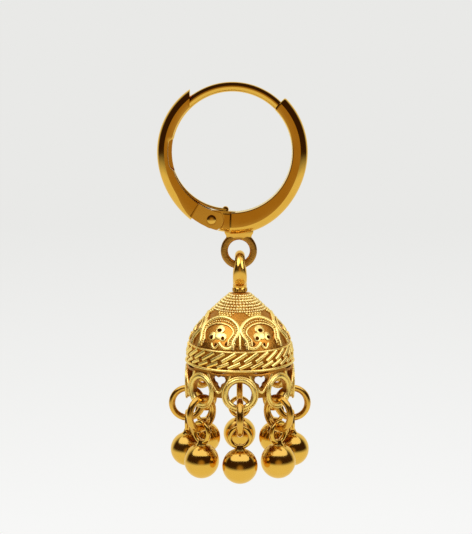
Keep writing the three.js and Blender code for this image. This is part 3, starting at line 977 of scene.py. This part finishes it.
# %% [markdown]
# ## Jump rings and ball drops
# The same chain hangs eight times: a jump ring edge-on to the bell's skirt, a small loop across
# it, a collar and a polished ball. The whole set is one motif each, copied by the tree about
# the bell's axis.

# %% Jump rings and ball drops
link_low, link_high = (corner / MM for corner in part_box("link_0"))
ball_low, ball_high = (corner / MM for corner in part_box("ball_0"))
LINK_INNER, LINK_WIRE = 1.22, 0.66
LOOP_INNER, LOOP_WIRE = 0.76, 0.46
BALL_RADIUS = 1.73
link_z = (link_low.z + link_high.z) / 2
ball_z = ball_low.z + BALL_RADIUS
loop_z = ball_high.z - LOOP_INNER - LOOP_WIRE

link = moved(ring(LINK_INNER + LINK_WIRE / 2, LINK_WIRE, 72, 20),
             Matrix.Translation((0, -CIRCLE, link_z)) @ Matrix.Rotation(math.pi / 2, 4, "Y"))
links = make_piece("links_look", link, barrel)
links = grown(links, copies_round, Count=DROPS, **{"Axis x": DOME_X * MM, "Material": barrel})
finish_piece(links, "drop", "ring_gold_plate", *[f"link_{i}" for i in range(DROPS)])

loop = moved(ring(LOOP_INNER + LOOP_WIRE / 2, LOOP_WIRE, 56, 18), at_front(loop_z))
collar = moved(turned([(0, -0.4), (0.66, -0.3), (0.56, -0.05), (0.4, 0.12), (0.36, 0.3),
                       (0.28, 0.42), (0, 0.45)], 40),
               Matrix.Translation((0, -CIRCLE, ball_z + BALL_RADIUS)))
sphere = moved(ball(BALL_RADIUS, 72), Matrix.Translation((0, -CIRCLE, ball_z)))
drops = make_piece("drops_look", together(loop, collar, sphere), tumbled, 50)
drops = grown(drops, copies_round, Count=DROPS, **{"Axis x": DOME_X * MM, "Material": tumbled})
finish_piece(drops, "drop", "ball_gold_plate", *[f"ball_{i}" for i in range(DROPS)])

# %% [markdown]
# ## A setting for metal to mirror
# Polished metal shows little but its surroundings. A jeweller's white table gives the bright
# undersides, and the darker room in front of the earring gives the brown middles that make gold
# look like gold. The page behind is plain, so the camera sees a pale wall instead of the room.

# %% Surroundings
world = bpy.data.worlds.new("room")
bpy.context.scene.world = world
world.use_nodes = True
sky = world.node_tree
sky.nodes.clear()
PALE, PALE_LOW = "#E9E9E7", "#F7F7F6"
ROOM_DARK, ROOM_WARM = "#38230F", "#AE8844"

direction = add_node(sky, "ShaderNodeTexCoord")
split = add_node(sky, "ShaderNodeSeparateXYZ", {"Vector": direction.outputs["Generated"]})
# Up and down: white table below, brown room in the middle and above.
by_height = add_node(sky, "ShaderNodeMapRange", {
    "Value": split.outputs["Z"], "From Min": -0.3, "From Max": -0.04, "To Min": 1.0, "To Max": 0.0})
# Behind the earring stands a white backdrop.
by_depth = add_node(sky, "ShaderNodeMapRange", {
    "Value": split.outputs["Y"], "From Min": 0.25, "From Max": 0.6, "To Min": 0.0, "To Max": 1.0})
white = add_node(sky, "ShaderNodeMath", {0: by_height.outputs["Result"], 1: by_depth.outputs["Result"]},
                 operation="MAXIMUM")
# A warm patch of the room straight in front.
by_front = add_node(sky, "ShaderNodeMapRange", {
    "Value": split.outputs["Y"], "From Min": -0.99, "From Max": -0.90, "To Min": 1.0, "To Max": 0.0})
room = add_node(sky, "ShaderNodeMix", {
    "Factor": by_front.outputs["Result"], "A": linear(ROOM_DARK), "B": linear(ROOM_WARM)},
    data_type="RGBA")
surround = add_node(sky, "ShaderNodeMix", {
    "Factor": white.outputs["Value"], "A": room.outputs["Result"], "B": [0.92, 0.88, 0.62, 1]},
    data_type="RGBA")
page = add_node(sky, "ShaderNodeMapRange", {
    "Value": split.outputs["Z"], "From Min": -0.37, "From Max": -0.1, "To Min": 1.0, "To Max": 0.0})
page_colour = add_node(sky, "ShaderNodeMix", {
    "Factor": page.outputs["Result"], "A": linear(PALE), "B": linear(PALE_LOW)}, data_type="RGBA")
rays = add_node(sky, "ShaderNodeLightPath")
seen = add_node(sky, "ShaderNodeMix", {
    "Factor": rays.outputs["Is Camera Ray"], "A": surround.outputs["Result"],
    "B": page_colour.outputs["Result"]}, data_type="RGBA")
glow = add_node(sky, "ShaderNodeBackground", {"Color": seen.outputs["Result"], "Strength": 1.0})
add_node(sky, "ShaderNodeOutputWorld", {"Surface": glow.outputs["Background"]})


def soft_light(name, location, width, depth, radiance, reached):
    """An oval lamp, sized in millimetres, that lights only what is in a collection."""
    data = bpy.data.lights.new(name, "AREA")
    data.shape = "ELLIPSE"
    data.size = width * MM
    data.size_y = depth * MM
    data.energy = radiance * math.pi * math.pi * data.size * data.size_y / 4
    lamp = bpy.data.objects.new(name, data)
    bpy.context.scene.collection.objects.link(lamp)
    lamp.location = Vector(location) * MM
    lamp.rotation_euler = (AIM - lamp.location).to_track_quat("-Z", "Y").to_euler()
    lamp.light_linking.receiver_collection = reached
    return lamp


# The cast bell's grainy surface needs lamps of its own, and an even sheet of light overhead
# reaches the bell, the jump rings and the balls, while the hoop keeps its dark top line.
cast_work = bpy.data.collections.new("cast_work")
cast_work.objects.link(bell)
hanging_work = bpy.data.collections.new("hanging_work")
for piece in (bell, links, drops):
    hanging_work.objects.link(piece)
soft_light("window_light", (-70, -70, 80), 110, 110, 3.2, cast_work)
soft_light("fill_light", (90, -60, 40), 90, 90, 2.6, cast_work)
soft_light("overhead_sheet", (0, -20, 120), 420, 230, 1.15, hanging_work)
bpy.context.scene.view_settings.view_transform = "Standard"
bpy.context.scene.view_settings.look = "None"
